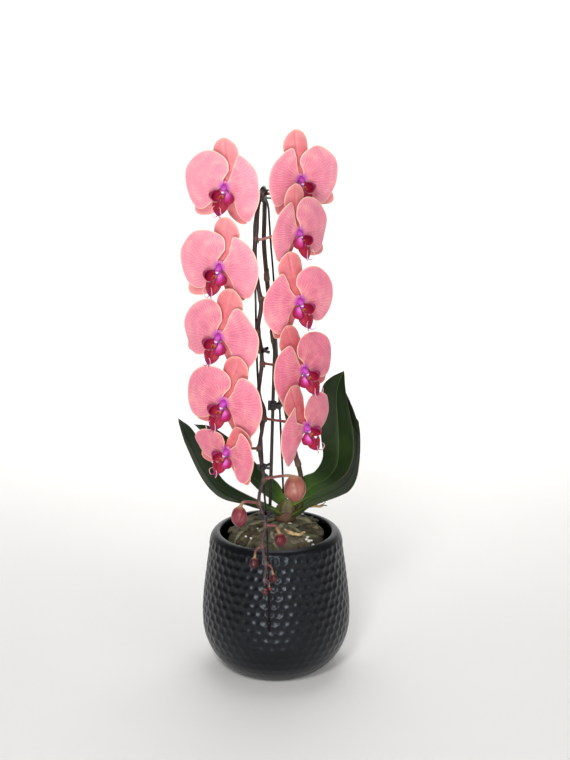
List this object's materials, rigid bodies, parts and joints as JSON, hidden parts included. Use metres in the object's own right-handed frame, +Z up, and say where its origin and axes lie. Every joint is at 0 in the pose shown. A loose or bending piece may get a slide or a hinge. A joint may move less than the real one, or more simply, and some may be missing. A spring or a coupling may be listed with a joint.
{
  "type": "potted orchid",
  "caption": "Potted moth orchid: an arched stem hangs coral-pink flowers and buds in front of strap leaves, in a dimpled black cover pot.",
  "frame": {"origin": "centre of the cover pot's foot, on the surface it stands on", "axes": "+Z up; -Y to the front, the side the flowers face; +X to the right seen from the front"},
  "size_m": [0.1981, 0.2538, 0.6104],
  "materials": {
    "black_ceramic": "matte, hammered",
    "liner_plastic": "smooth",
    "bark": "rough, dry",
    "crown": "rough, fibrous",
    "root": "dry, papery",
    "leaf": "glossy, waxy",
    "spike": "satin",
    "coated_wire": "glossy coating",
    "black_rubber": "satin",
    "stake": "satin",
    "clip_plastic": "glossy",
    "petal": "soft, veined",
    "sepal": "soft, veined",
    "lip": "velvety",
    "bud": "satin"
  },
  "bodies": {
    "root": {"cover_pot": "black_ceramic", "liner_pot": "liner_plastic", "potting_bark": "bark", "crown": "crown", "root_right": "root", "root_front": "root", "leaf_left_front": "leaf", "leaf_left_back": "leaf", "leaf_right_upright": "leaf", "leaf_right_lower": "leaf", "flower_spike": "spike", "support_wire": "coated_wire", "wire_end_cap": "black_rubber", "stake": "stake", "clip_apex": "clip_plastic", "clip_upper": "clip_plastic", "clip_middle": "clip_plastic", "clip_lower": "clip_plastic", "clip_stake": "clip_plastic", "flower_left_1_petals": "petal", "flower_left_1_sepals": "sepal", "flower_left_1_lip": "lip", "flower_left_2_petals": "petal", "flower_left_2_sepals": "sepal", "flower_left_2_lip": "lip", "flower_left_3_petals": "petal", "flower_left_3_sepals": "sepal", "flower_left_3_lip": "lip", "flower_left_4_petals": "petal", "flower_left_4_sepals": "sepal", "flower_left_4_lip": "lip", "flower_left_5_petals": "petal", "flower_left_5_sepals": "sepal", "flower_left_5_lip": "lip", "flower_right_1_petals": "petal", "flower_right_1_sepals": "sepal", "flower_right_1_lip": "lip", "flower_right_2_petals": "petal", "flower_right_2_sepals": "sepal", "flower_right_2_lip": "lip", "flower_right_3_petals": "petal", "flower_right_3_sepals": "sepal", "flower_right_3_lip": "lip", "flower_right_4_petals": "petal", "flower_right_4_sepals": "sepal", "flower_right_4_lip": "lip", "flower_right_5_petals": "petal", "flower_right_5_sepals": "sepal", "flower_right_5_lip": "lip", "bud_1": "bud", "bud_2": "bud", "bud_3": "bud", "bud_4": "bud", "bud_5": "bud", "bud_6": "bud", "bud_7": "bud"}
  },
  "joints": []
}
